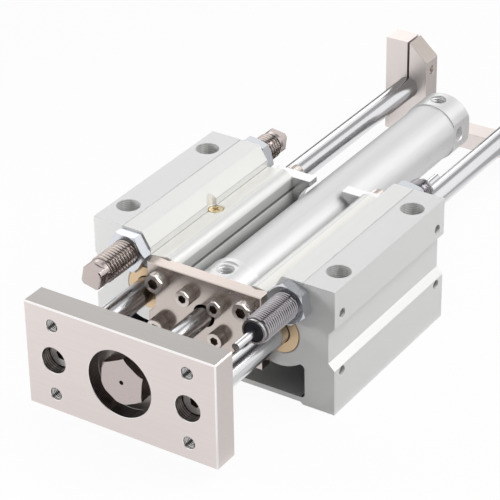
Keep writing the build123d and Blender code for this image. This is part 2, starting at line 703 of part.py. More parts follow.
# Shock absorbers on the right: threaded body, end cap and moving rod
for index, (end, end_name) in enumerate(((-1, "front"), (1, "rear"))):
    face = facing_end(end, shock_faces[index])
    centre = (-end * stop_x, stop_z)
    with BuildPart(face) as shock_body:
        with Locations((*centre, 0)):
            Cylinder(stop_thread_r, shock_length, align=(Align.CENTER, Align.CENTER, Align.MAX))
            chamfer(shock_body.edges(), stop_end_chamfer)
            Cylinder(shock_cap_r, 2 * shock_cap_depth, mode=Mode.SUBTRACT)
            Cylinder(shock_bore_r, 2 * (shock_length - shock_end_wall), mode=Mode.SUBTRACT)
    shock_body.part.label = f"{end_name}_shock_body"
    export_step(shock_body.part, f"parts/{end_name}_shock_body.step")
    with BuildPart(face) as shock_cap:
        with Locations((*centre, -shock_cap_depth)):
            add(ring(shock_rod_r + running_gap, shock_cap_r, shock_cap_depth - shock_cap_recess))
    shock_cap.part.label = f"{end_name}_shock_cap"
    export_step(shock_cap.part, f"parts/{end_name}_shock_cap.step")
    with BuildPart(face) as shock_rod:
        with Locations((*centre, -shock_piston_inset)):
            Cylinder(shock_rod_r, shock_rod_reach + shock_piston_inset, align=(Align.CENTER, Align.CENTER, Align.MIN))
            Cylinder(shock_bore_r - 0.1, shock_piston_length, align=(Align.CENTER, Align.CENTER, Align.MAX))
    shock_rod.part.label = f"{end_name}_shock_rod"
    export_step(shock_rod.part, f"parts/{end_name}_shock_rod.step")

# Lubrication plug: countersunk screw above the left guide bore
with BuildPart() as lubrication_plug:
    with Locations((plug_x, plug_y, plug_seat_z)):
        Cone(plug_thread_r, plug_head_r, plug_cone_h, align=(Align.CENTER, Align.CENTER, Align.MAX))
        Cylinder(plug_thread_r - thread_gap, plug_length, align=(Align.CENTER, Align.CENTER, Align.MAX))
        Box(4.4, 0.9, 2.4, mode=Mode.SUBTRACT)
        Box(0.9, 4.4, 2.4, mode=Mode.SUBTRACT)
lubrication_plug.part.label = "lubrication_plug"
export_step(lubrication_plug.part, "parts/lubrication_plug.step")
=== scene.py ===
import math

import bmesh
import bpy
from bpy.props import FloatProperty, FloatVectorProperty, PointerProperty
from bpy.types import Operator, Panel, PropertyGroup
from mathutils import Matrix, Vector


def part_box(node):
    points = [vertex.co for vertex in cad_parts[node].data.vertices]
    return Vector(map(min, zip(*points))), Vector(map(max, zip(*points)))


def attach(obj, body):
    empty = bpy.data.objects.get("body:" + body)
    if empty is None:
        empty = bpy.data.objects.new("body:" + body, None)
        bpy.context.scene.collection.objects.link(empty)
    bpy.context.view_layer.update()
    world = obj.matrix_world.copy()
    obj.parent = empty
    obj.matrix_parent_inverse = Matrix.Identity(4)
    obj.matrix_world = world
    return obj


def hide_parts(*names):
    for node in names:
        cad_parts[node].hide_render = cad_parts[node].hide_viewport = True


bl_info = {
    "name": "Guided Cylinder Looks",
    "version": (1, 0, 0),
    "blender": (4, 5, 0),
    "location": "View3D > Sidebar > Cylinder",
    "description": "Builds the looks of a guided pneumatic cylinder around its packed solids",
    "category": "Object",
}

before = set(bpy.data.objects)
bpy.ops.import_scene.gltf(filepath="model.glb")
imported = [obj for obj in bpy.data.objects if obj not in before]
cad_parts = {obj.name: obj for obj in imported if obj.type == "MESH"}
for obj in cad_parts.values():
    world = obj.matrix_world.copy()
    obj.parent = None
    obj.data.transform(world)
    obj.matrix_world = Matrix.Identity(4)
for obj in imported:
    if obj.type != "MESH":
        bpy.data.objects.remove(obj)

MM = 0.001
AXIS_Z = 36.5 * MM

# Turns of a screw or thread that faces the front or the rear
FRONT = Vector((math.radians(90), 0, 0))
REAR = Vector((math.radians(-90), 0, 0))

# Grain of the metals: the swing of its colour, the height of its bumps and the stretch along each axis
GRAIN_DARK = 0.94
GRAIN_LIGHT = 1.04
GRAIN_RELIEF = 0.05 * MM
GROUND_X = (0.03, 1, 1)
GROUND_Z = (1, 1, 0.03)
DRAWN_Y = (1, 0.02, 1)
TURNED = (0.05, 1, 0.05)

# Socket screws, in mm
M5 = {"Head Radius": 4.25, "Head Height": 5.0, "Key": 4.0, "Key Depth": 2.5, "Shank Radius": 2.4}
M6 = {"Head Radius": 5.0, "Head Height": 6.0, "Key": 5.0, "Key Depth": 3.0, "Shank Radius": 2.9}
M8_LOW = {"Head Radius": 6.5, "Head Height": 4.5, "Key": 5.0, "Key Depth": 3.0, "Shank Radius": 3.9}


# Node building


def wire(tree, source, target):
    """Links one output socket to one input socket."""
    tree.links.new(source, target)


def put(tree, kind, inputs=None, **settings):
    """Adds a node, sets its attributes, and gives each input a value or a link from another socket."""
    node = tree.nodes.new(kind)
    for key, value in settings.items():
        setattr(node, key, value)
    for key, value in (inputs or {}).items():
        if isinstance(value, bpy.types.NodeSocket):
            wire(tree, value, node.inputs[key])
        else:
            node.inputs[key].default_value = value
    return node


def math_node(tree, operation, *values, clamp=False):
    """Adds a math node on numbers or sockets and returns its output."""
    inputs = dict(enumerate(values))
    return put(tree, "ShaderNodeMath", inputs, operation=operation, use_clamp=clamp).outputs[0]


def product(tree, first, *others):
    """Multiplies numbers or sockets and returns the output."""
    for value in others:
        first = math_node(tree, "MULTIPLY", first, value)
    return first


def combine(tree, **axes):
    """Vector from numbers or sockets for X, Y and Z."""
    return put(tree, "ShaderNodeCombineXYZ", axes).outputs[0]


def split(tree, vector):
    """X, Y and Z of a vector."""
    return put(tree, "ShaderNodeSeparateXYZ", {0: vector}).outputs


def length_of(tree, vector):
    """Length of a vector."""
    return put(tree, "ShaderNodeVectorMath", {0: vector}, operation="LENGTH").outputs["Value"]


def object_place(tree):
    """Object coordinates, split into X, Y and Z."""
    return split(tree, put(tree, "ShaderNodeTexCoord").outputs["Object"])


def band(tree, value, centre, half):
    """One where a socket lies within half of centre, both in mm."""
    off = math_node(tree, "ABSOLUTE", math_node(tree, "SUBTRACT", value, centre * MM))
    return math_node(tree, "LESS_THAN", off, half * MM)


def distance(tree, **centre):
    """Distance from a line that is given by its place on the two axes across it."""
    place = object_place(tree)
    across = {axis: math_node(tree, "SUBTRACT", place[axis], value) for axis, value in centre.items()}
    return length_of(tree, combine(tree, **across))


# Materials


def blank_material(name):
    """A fresh node material with its shader; returns the material, its tree and the shader."""
    material = bpy.data.materials.new(name)
    material.use_nodes = True
    tree = material.node_tree
    tree.nodes.clear()
    shader = put(tree, "ShaderNodeBsdfPrincipled")
    put(tree, "ShaderNodeOutputMaterial", {0: shader.outputs[0]})
    return material, tree, shader


def metal_material(
    name, color, roughness, metallic=1.0, grain=0.0, stretch=(1, 1, 1), scale=900.0, streak=0.06
):
    """Metal with a fine grain: noise in object space drives roughness, a little colour and a small bump."""
    material, tree, shader = blank_material(name)
    shader.inputs["Metallic"].default_value = metallic
    coords = put(tree, "ShaderNodeTexCoord")
    mapping = put(tree, "ShaderNodeMapping", {"Vector": coords.outputs["Object"], "Scale": stretch})
    texture = {"Vector": mapping.outputs[0], "Scale": scale, "Detail": 3.0, "Roughness": 0.6}
    noise = put(tree, "ShaderNodeTexNoise", texture).outputs["Fac"]
    limits = {"Value": noise, "To Min": max(roughness - streak, 0.02), "To Max": min(roughness + streak, 1.0)}
    wire(tree, put(tree, "ShaderNodeMapRange", limits).outputs[0], shader.inputs["Roughness"])
    dark = (*[c * GRAIN_DARK for c in color], 1)
    light = (*[min(c * GRAIN_LIGHT, 1.0) for c in color], 1)
    tint = put(tree, "ShaderNodeMix", {"Factor": noise, "A": dark, "B": light}, data_type="RGBA")
    wire(tree, tint.outputs["Result"], shader.inputs["Base Color"])
    if grain:
        bump = put(tree, "ShaderNodeBump", {"Strength": grain, "Distance": GRAIN_RELIEF, "Height": noise})
        wire(tree, bump.outputs[0], shader.inputs["Normal"])
    return material


def plain_material(name, color, roughness):
    """Rubber or plastic with a faint mottling."""
    return metal_material(name, color, roughness, metallic=0.0, grain=0.15, scale=700.0, streak=0.05)


def repaint(tree, mask, blend, color):
    """Puts one more colour layer between the base colour and the shader, and returns it."""
    base = tree.nodes["Principled BSDF"].inputs["Base Color"]
    layers = {"Factor": mask, "A": base.links[0].from_socket, "B": (*color, 1)}
    layer = put(tree, "ShaderNodeMix", layers, data_type="RGBA", blend_type=blend)
    wire(tree, layer.outputs["Result"], base)
    return layer


def paint_box_shade(material, color, spans):
    """Paints shade over the box given by a centre and a half size in mm along each axis, such as the cavity.
    """
    tree = material.node_tree
    place = object_place(tree)
    inside = [band(tree, place[axis], centre, half) for axis, centre, half in spans]
    repaint(tree, product(tree, *inside), "MIX", color)


def paint_strip_light(material, x, z, half_x, half_z, shade):
    """Paints light and shade as a tint on a strip that runs along Y at plus and minus x."""
    tree = material.node_tree
    place = object_place(tree)
    aside = math_node(tree, "ABSOLUTE", place["X"])
    line = product(tree, band(tree, aside, x, half_x), band(tree, place["Z"], z, half_z))
    repaint(tree, line, "MULTIPLY", shade)


def tool_lines(material, axis, spacing, spans, level):
    """Fine dark lines across one axis, as a drill or a tap leaves them, in a box that both sides share."""
    tree = material.node_tree
    place = object_place(tree)
    turns = math_node(tree, "FRACT", math_node(tree, "DIVIDE", place[axis], spacing * MM))
    dark_share = 0.45
    line = math_node(tree, "LESS_THAN", turns, dark_share)
    inside = [
        band(tree, math_node(tree, "ABSOLUTE", place[name]), centre, half) for name, centre, half in spans
    ]
    repaint(tree, product(tree, line, *inside), "MULTIPLY", (level, level, level))


def shade_facing(material, axis, low, high, tint):
    """Paints light and shade as a tint on the faces whose normal has a share along one axis, of either sign,
    between two limits.
    """
    tree = material.node_tree
    facing = split(tree, put(tree, "ShaderNodeNewGeometry").outputs["True Normal"])
    share = math_node(tree, "ABSOLUTE", facing[axis])
    over = math_node(tree, "GREATER_THAN", share, low)
    under = math_node(tree, "LESS_THAN", share, high)
    repaint(tree, product(tree, over, under), "MULTIPLY", tint)


def turning_marks(material, centre, spacing, strength):
    """Concentric marks about a line along Y, as a lathe leaves them on a face."""
    tree = material.node_tree
    coords = put(tree, "ShaderNodeTexCoord")
    shift = {"Vector": coords.outputs["Object"], "Location": [-c for c in centre]}
    mapping = put(tree, "ShaderNodeMapping", shift)
    waves = {"Vector": mapping.outputs[0], "Scale": math.pi / (10 * spacing), "Distortion": 0.4}
    rings = put(tree, "ShaderNodeTexWave", waves, wave_type="RINGS", rings_direction="Y")
    relief = {"Strength": strength, "Distance": 0.00004, "Height": rings.outputs["Fac"]}
    wire(tree, put(tree, "ShaderNodeBump", relief).outputs[0], tree.nodes["Principled BSDF"].inputs["Normal"])


def axis_shade(material, x, z, near, far, level):
    """Dims what lies within a distance of a line along Y: full shade up to near, none from far on."""
    tree = material.node_tree
    reach = distance(tree, X=x, Z=z)
    limits = {"From Min": near, "From Max": far, "To Min": 1.0, "To Max": 0.0, "Value": reach}
    shade = put(tree, "ShaderNodeMapRange", limits)
    repaint(tree, shade.outputs[0], "MULTIPLY", (level, level, level))


def groove_shadow(material, node, depth, level):
    """Darkens the thread grooves around the axis of one stop and of its twin at the other end."""
    low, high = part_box(node)
    crest = (high.x - low.x) / 2
    x = (low.x + high.x) / 2
    z = (low.z + high.z) / 2
    bright_share = 0.2
    axis_shade(material, x, z, crest - depth, crest - bright_share * depth, level)


def rim_shade(material, node, width, level):
    """Dims the rim of an upright round head, a little more in green and blue."""
    tree = material.node_tree
    low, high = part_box(node)
    reach = distance(tree, X=(low.x + high.x) / 2, Y=(low.y + high.y) / 2)
    rim = math_node(tree, "GREATER_THAN", reach, (high.x - low.x) / 2 - width)
    repaint(tree, rim, "MULTIPLY", (level, level * 0.9, level * 0.8))


def channel_shade(material, half, low, high, steps):
    """Paints shade and light on the walls of the channel by height; steps holds (height, level), the ends
    first, all in mm.
    """
    tree = material.node_tree
    place = object_place(tree)
    between = math_node(tree, "LESS_THAN", math_node(tree, "ABSOLUTE", place["X"]), half * MM)
    over = math_node(tree, "GREATER_THAN", place["Z"], low * MM)
    limits = {"Value": place["Z"], "From Min": low * MM, "From Max": high * MM}
    height = put(tree, "ShaderNodeMapRange", limits)
    ramp = put(tree, "ShaderNodeValToRGB", {0: height.outputs[0]})
    points = ramp.color_ramp.elements
    for index, (z, level) in enumerate(steps):
        share = (z - low) / (high - low)
        point = points[index] if index < 2 else points.new(share)
        point.position = share
        point.color = (level, level, level, 1)
    layer = repaint(tree, product(tree, between, over), "MULTIPLY", (1, 1, 1))
    wire(tree, ramp.outputs[0], layer.inputs["B"])


# Mesh building


def new_object(name, data):
    """Object with its data, linked to the scene."""
    obj = bpy.data.objects.new(name, data)
    bpy.context.scene.collection.objects.link(obj)
    return obj


def smooth(mesh, angle):
    """Smooth shading up to an angle in degrees."""
    mesh.polygons.foreach_set("use_smooth", [True] * len(mesh.polygons))
    mesh.set_sharp_from_angle(angle=math.radians(angle))


def finish_mesh(bm, name, material, smooth_angle=30.0):
    """Turns a bmesh into a linked object with outward normals and smooth shading up to an angle."""
    bmesh.ops.recalc_face_normals(bm, faces=bm.faces[:])
    mesh = bpy.data.meshes.new(name)
    bm.to_mesh(mesh)
    bm.free()
    if "custom_normal" in mesh.attributes:
        mesh.attributes.remove(mesh.attributes["custom_normal"])
    smooth(mesh, smooth_angle)
    mesh.materials.append(material)
    obj = new_object(name, mesh)
    weighted = obj.modifiers.new("Flat faces stay flat", "WEIGHTED_NORMAL")
    weighted.keep_sharp = True
    weighted.weight = 100
    built = bpy.data.meshes.new_from_object(obj.evaluated_get(bpy.context.evaluated_depsgraph_get()))
    obj.modifiers.remove(weighted)
    obj.data = built
    bpy.data.meshes.remove(mesh)
    built.name = name
    return obj


def settle(obj, body, slot, *nodes):
    """Hangs a finished piece under the empty of its body and hides the imported nodes that it stands for."""
    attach(obj, body)
    if nodes:
        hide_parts(*nodes)


def dress(node, body, slot, material, bevel=0.0):
    """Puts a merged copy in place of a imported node; a bevel, where one is given, breaks its hard edges."""
    bm = bmesh.new()
    bm.from_mesh(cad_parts[node].data)
    bmesh.ops.remove_doubles(bm, verts=bm.verts[:], dist=0.002 * MM)
    if bevel:
        flat = math.radians(1.0)
        bmesh.ops.dissolve_limit(
            bm, angle_limit=flat, verts=bm.verts[:], edges=bm.edges[:], use_dissolve_boundaries=False
        )
        bends = [(edge, edge.calc_face_angle(0)) for edge in bm.edges if len(edge.link_faces) == 2]
        hard = [edge for edge, angle in bends if angle > math.radians(40.0)]
        shape = {"offset_type": "OFFSET", "segments": 1, "profile": 0.5, "affect": "EDGES"}
        bmesh.ops.bevel(bm, geom=hard, offset=bevel, clamp_overlap=True, **shape)
    settle(finish_mesh(bm, node + "_looks", material, 24.0), body, slot, node)


def skin(bm, loops, closed=False):
    """Walls between neighbouring loops; closed joins the last loop to the first, open adds two end faces."""
    for low, high in zip(loops, loops[1:] + loops[:1] if closed else loops[1:]):
        for i in range(len(low)):
            j = (i + 1) % len(low)
            bm.faces.new((low[i], low[j], high[j], high[i]))
    if not closed:
        bm.faces.new(loops[0])
        bm.faces.new(loops[-1])


def lathe(name, profile, x, z, material, segments=96, closed=False):
    """Solid turned about a line along Y; profile holds (radius, y), and a closed one makes a ring."""
    bm = bmesh.new()
    angles = [2 * math.pi * i / segments for i in range(segments)]
    loops = [
        [bm.verts.new((x + radius * math.cos(a), y, z + radius * math.sin(a))) for a in angles]
        for radius, y in profile
    ]
    skin(bm, loops, closed)
    return finish_mesh(bm, name, material)


def plain_rod(node, material, chamfer=0.0006):
    """Ground shaft over the box of a round node that lies along Y."""
    low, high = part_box(node)
    radius = (high.x - low.x) / 2
    profile = (
        (radius - chamfer, low.y),
        (radius, low.y + chamfer),
        (radius, high.y - chamfer),
        (radius - chamfer, high.y),
    )
    centre = (low + high) / 2
    return lathe(node + "_looks", profile, centre.x, centre.z, material)


def square_end(name, x, z, tip, way, material, turn):
    """Square end of an adjuster, milled out of the round bar, with the neck behind it."""
    flat, bar = 5.25 * MM, 6.4 * MM
    side_angles = (-35, -18, 0, 18, 35, 40, 45, 50)
    # Distance from the tip and inset in mm, and whether the square is milled there
    steps = ((0.0, 0.5, True), (0.5, 0.0, True), (4.8, 0.0, True), (5.2, 0.0, False), (7.4, 0.0, False))
    bm = bmesh.new()
    loops = []
    for back, inset, milled in steps:
        loop = []
        for quarter in range(4):
            for off in side_angles:
                reach = min(flat / math.cos(math.radians(off)), bar) if milled else bar
                reach -= inset * MM
                a = math.radians(off + 90 * quarter + turn)
                spot = (x + reach * math.cos(a), tip + way * back * MM, z + reach * math.sin(a))
                loop.append(bm.verts.new(spot))
        loops.append(loop)
    skin(bm, loops)
    return finish_mesh(bm, name, material)


# Geometry node trees


def new_tree(name, sockets):
    """Geometry tree with named inputs; returns the tree, its input sockets by name and its output node."""
    tree = bpy.data.node_groups.new(name, "GeometryNodeTree")
    for socket_name, kind, default in sockets:
        socket = tree.interface.new_socket(socket_name, in_out="INPUT", socket_type="NodeSocket" + kind)
        if default is not None:
            socket.default_value = default
    tree.interface.new_socket("Geometry", in_out="OUTPUT", socket_type="NodeSocketGeometry")
    return tree, tree.nodes.new("NodeGroupInput").outputs, tree.nodes.new("NodeGroupOutput")


def lift(tree, geometry, height):
    """Moves geometry along Z."""
    move = {"Geometry": geometry, "Translation": combine(tree, Z=height)}
    return put(tree, "GeometryNodeTransform", move).outputs[0]


def join(tree, *parts):
    """Joins pieces of geometry."""
    joined = put(tree, "GeometryNodeJoinGeometry")
    for part in parts:
        wire(tree, part, joined.inputs[0])
    return joined.outputs[0]


def on_seats(tree, given, piece):
    """Puts a piece on every seat point, turned as asked."""
    seats = {"Points": given["Geometry"], "Instance": piece, "Rotation": given["Turn"]}
    return put(tree, "GeometryNodeInstanceOnPoints", seats).outputs[0]


def painted(tree, given, instances):
    """Makes instances real and gives them the tree's material."""
    real = put(tree, "GeometryNodeRealizeInstances", {0: instances})
    coat = {"Geometry": real.outputs[0], "Material": given["Material"]}
    return put(tree, "GeometryNodeSetMaterial", coat).outputs[0]


def thread_tree():
    """Threads along Z on every seat point: a ridge swept along a helix, with a core where one is wanted."""
    tree, given, result = new_tree(
        "Helical Threads",
        (
            ("Geometry", "Geometry", None),
            ("Root Radius", "Float", 0.006),
            ("Depth", "Float", 0.0008),
            ("Inward", "Bool", False),
            ("Core", "Bool", True),
            ("Length", "Float", 0.05),
            ("Pitch", "Float", 0.0015),
            ("Run Out", "Float", 0.0012),
            ("Steps", "Int", 40),
            ("Turn", "Vector", None),
            ("Material", "Material", None),
        ),
    )
    root, depth, length, pitch = (given[name] for name in ("Root Radius", "Depth", "Length", "Pitch"))
    foot_share, crest_share, thinnest, core_lap = 0.92, 0.16, 0.02, 0.02 * MM
    helix = put(
        tree,
        "GeometryNodeCurveSpiral",
        {
            "Reverse": True,
            "Resolution": given["Steps"],
            "Rotations": math_node(tree, "DIVIDE", length, pitch),
            "Start Radius": root,
            "End Radius": root,
            "Height": length,
        },
    )
    upright = put(tree, "GeometryNodeSetCurveNormal", {"Curve": helix.outputs[0]}, mode="Z_UP")
    widths = {
        "Offset": 0.0,
        "Height": depth,
        "Bottom Width": product(tree, pitch, foot_share),
        "Top Width": product(tree, pitch, crest_share),
    }
    ridge = put(tree, "GeometryNodeCurvePrimitiveQuadrilateral", widths, mode="TRAPEZOID")
    ways = {"Switch": given["Inward"], "False": 1.0, "True": -1.0}
    side = put(tree, "GeometryNodeSwitch", ways, input_type="FLOAT").outputs[0]
    stand = {
        "Geometry": ridge.outputs[0],
        "Translation": combine(tree, X=product(tree, depth, 0.5, side)),
        "Rotation": combine(tree, Z=product(tree, side, -math.pi / 2)),
    }
    profile = put(tree, "GeometryNodeTransform", stand)
    height = split(tree, put(tree, "GeometryNodeInputPosition").outputs[0])["Z"]
    nearest = math_node(tree, "MINIMUM", height, math_node(tree, "SUBTRACT", length, height))
    fade = math_node(tree, "DIVIDE", nearest, given["Run Out"], clamp=True)
    fade = math_node(tree, "MAXIMUM", fade, thinnest)
    sweep = {
        "Curve": upright.outputs[0],
        "Profile Curve": profile.outputs[0],
        "Scale": fade,
        "Fill Caps": True,
    }
    swept = put(tree, "GeometryNodeCurveToMesh", sweep)
    sizes = {"Vertices": 64, "Radius": math_node(tree, "ADD", root, core_lap), "Depth": length}
    core = put(tree, "GeometryNodeMeshCylinder", sizes)
    raised = lift(tree, core.outputs["Mesh"], product(tree, length, 0.5))
    chosen = put(tree, "GeometryNodeSwitch", {"Switch": given["Core"], "True": raised}, input_type="GEOMETRY")
    thread = join(tree, swept.outputs[0], chosen.outputs[0])
    wire(tree, painted(tree, given, on_seats(tree, given, thread)), result.inputs[0])
    return tree


def screw_head(tree, given):
    """Knurled head on Z 0 with broken rims and a hexagon socket from above."""
    radius, height, ridges = (given[name] for name in ("Head Radius", "Head Height", "Ridges"))
    sides_per_ridge, rim_zone, rim_cut = 4.0, 0.3, 0.13
    sides = product(tree, ridges, sides_per_ridge)
    sizes = {"Side Segments": 12, "Vertices": sides, "Radius": radius, "Depth": height}
    head = put(tree, "GeometryNodeMeshCylinder", sizes)
    place = split(tree, put(tree, "GeometryNodeInputPosition").outputs[0])
    angle = math_node(tree, "ARCTAN2", place["Y"], place["X"])
    wave = math_node(tree, "COSINE", product(tree, angle, ridges))
    ridge = product(tree, math_node(tree, "SUBTRACT", 1.0, wave), 0.5)
    half = product(tree, height, 0.5)
    edge = math_node(tree, "SUBTRACT", half, math_node(tree, "ABSOLUTE", place["Z"]))
    inside = math_node(tree, "DIVIDE", edge, product(tree, half, rim_zone), clamp=True)
    knurl = product(tree, ridge, inside, given["Knurl"])
    outside = math_node(tree, "SUBTRACT", 1.0, inside)
    rim = product(tree, outside, product(tree, half, rim_cut))
    cut = math_node(tree, "ADD", knurl, rim)
    factor = math_node(tree, "SUBTRACT", 1.0, math_node(tree, "DIVIDE", cut, radius))
    moved = combine(
        tree,
        X=product(tree, place["X"], factor),
        Y=product(tree, place["Y"], factor),
        Z=math_node(tree, "ADD", place["Z"], half),
    )
    shaped = put(tree, "GeometryNodeSetPosition", {"Geometry": head.outputs["Mesh"], "Position": moved})
    corner = math_node(tree, "DIVIDE", given["Key"], math.sqrt(3))
    deep = product(tree, given["Key Depth"], 2.0)
    key = put(tree, "GeometryNodeMeshCylinder", {"Vertices": 6, "Radius": corner, "Depth": deep})
    solids = {"Mesh 1": shaped.outputs[0], "Mesh 2": lift(tree, key.outputs["Mesh"], height)}
    bored = put(tree, "GeometryNodeMeshBoolean", solids, operation="DIFFERENCE", solver="EXACT")
    return bored.outputs["Mesh"]


def mark_socket(tree, given, screw):
    """Stores which faces lie in the hexagon socket, where the socket material paints shade."""
    key_share, brim_depth, foot_height = 0.56, 0.05 * MM, 0.5 * MM
    spot = split(tree, put(tree, "GeometryNodeInputPosition").outputs[0])
    reach = length_of(tree, combine(tree, X=spot["X"], Y=spot["Y"]))
    near = math_node(tree, "LESS_THAN", reach, product(tree, given["Key"], key_share))
    brim = math_node(tree, "SUBTRACT", given["Head Height"], brim_depth)
    below = math_node(tree, "LESS_THAN", spot["Z"], brim)
    above = math_node(tree, "GREATER_THAN", spot["Z"], foot_height)
    mark = {"Geometry": screw, "Name": "socket", "Value": product(tree, near, below, above)}
    return put(tree, "GeometryNodeStoreNamedAttribute", mark, data_type="BOOLEAN", domain="FACE").outputs[0]


def screw_tree():
    """Set of socket screws: one knurled head with a hexagon socket and its shank, put on every seat point."""
    tree, given, result = new_tree(
        "Socket Screws",
        (
            ("Geometry", "Geometry", None),
            ("Head Radius", "Float", 0.005),
            ("Head Height", "Float", 0.006),
            ("Key", "Float", 0.005),
            ("Key Depth", "Float", 0.003),
            ("Shank Radius", "Float", 0.003),
            ("Shank Length", "Float", 0.016),
            ("Knurl", "Float", 0.00012),
            ("Ridges", "Int", 36),
            ("Turn", "Vector", None),
            ("Seed", "Int", 7),
            ("Material", "Material", None),
            ("Socket Shade Material", "Material", None),
        ),
    )
    head = screw_head(tree, given)
    sizes = {"Radius": given["Shank Radius"], "Depth": given["Shank Length"]}
    shank = put(tree, "GeometryNodeMeshCylinder", sizes)
    sunk = lift(tree, shank.outputs["Mesh"], product(tree, given["Shank Length"], -0.5))
    marked = mark_socket(tree, given, join(tree, head, sunk))
    seats = on_seats(tree, given, marked)
    draw = {3: math.radians(60), "Seed": given["Seed"]}
    spin = put(tree, "FunctionNodeRandomValue", draw, data_type="FLOAT")
    turns = {"Instances": seats, "Rotation": combine(tree, Z=spin.outputs[1])}
    rotated = put(tree, "GeometryNodeRotateInstances", turns)
    sockets = put(tree, "GeometryNodeInputNamedAttribute", {"Name": "socket"}, data_type="BOOLEAN")
    coat = {
        "Geometry": painted(tree, given, rotated.outputs[0]),
        "Selection": sockets.outputs[0],
        "Material": given["Socket Shade Material"],
    }
    wire(tree, put(tree, "GeometryNodeSetMaterial", coat).outputs[0], result.inputs[0])
    return tree


def grown(name, tree, points, values, smooth_angle=35.0):
    """Runs a geometry tree on a few points and keeps the result as a plain mesh object."""
    mesh = bpy.data.meshes.new(name + "_seats")
    mesh.from_pydata([tuple(p) for p in points], [], [])
    obj = new_object(name, mesh)
    modifier = obj.modifiers.new("Build", "NODES")
    modifier.node_group = tree
    for item in tree.interface.items_tree:
        if item.item_type == "SOCKET" and item.in_out == "INPUT" and item.name in values:
            modifier[item.identifier] = values[item.name]
    depsgraph = bpy.context.evaluated_depsgraph_get()
    built = bpy.data.meshes.new_from_object(obj.evaluated_get(depsgraph))
    obj.modifiers.remove(modifier)
    obj.data = built
    bpy.data.meshes.remove(mesh)
    bm = bmesh.new()
    bm.from_mesh(built)
    bmesh.ops.recalc_face_normals(bm, faces=bm.faces[:])
    bm.to_mesh(built)
    bm.free()
    smooth(built, smooth_angle)
    return obj


def thread(name, tree, seats, material, root, depth, length, pitch, turn, hole=False):
    """Grows one set of equal threads: outward ridges on a core for shanks, inward ones for tapped holes."""
    values = {
        "Root Radius": root,
        "Depth": depth,
        "Inward": hole,
        "Core": not hole,
        "Length": length - 0.04 * MM,
        "Pitch": pitch,
        "Run Out": 1.2 * MM,
        "Steps": 28 if hole else 40,
        "Turn": turn,
        "Material": material,
    }
    return grown(name, tree, seats, values, smooth_angle=25.0)


# Settings


def color_setting(name, description, default):
    """Colour that the panel shows."""
    return FloatVectorProperty(name=name, description=description, default=default, subtype="COLOR")


def length_setting(name, description, default):
    """Length in metres that the panel shows."""
    return FloatProperty(
        name=name, description=description, default=default, unit="LENGTH", subtype="DISTANCE"
    )


def number_setting(name, description, default):
    """Plain number that the panel shows."""
    return FloatProperty(name=name, description=description, default=default)


class CylinderFinish(PropertyGroup):
    """Colours and roughness of the main metals."""

    body_color: color_setting("Body colour", "Anodised guide body", (0.82, 0.82, 0.81))
    body_roughness: number_setting("Body roughness", "Satin of the guide body", 0.36)
    plate_color: color_setting("Plate colour", "Nickel plated front plate", (0.76, 0.69, 0.67))
    rod_roughness: number_setting("Rod roughness", "Polish of the ground rods", 0.19)
    edge: length_setting("Edge", "Width of the broken edges", 0.0002)


class CylinderThreads(PropertyGroup):
    """Sizes of the threads on the stops and in the holes."""

    pitch: length_setting("Pitch", "Pitch of the adjuster threads", 0.002)
    depth: length_setting("Depth", "Depth of the adjuster threads", 0.0011)
    shock_pitch: length_setting("Shock pitch", "Pitch of the shock absorber threads", 0.0015)
    shock_depth: length_setting("Shock depth", "Depth of the shock absorber threads", 0.0009)
    hole_depth: length_setting("Hole depth", "Depth of the threads in tapped holes", 0.0005)


class CylinderStage(PropertyGroup):
    """Floor and light of the picture."""

    floor_color: color_setting("Floor", "Colour of the floor as it lights the object", (0.42, 0.42, 0.42))
    floor_white: number_setting(
        "Floor white", "How far the floor looks plain white, with its shadow left in", 0.95
    )
    key_power: FloatProperty(name="Key", description="Power of the large light", default=6.4, unit="POWER")
    fill_strength: number_setting("Fill", "Strength of the light from all around", 0.31)


# Operators


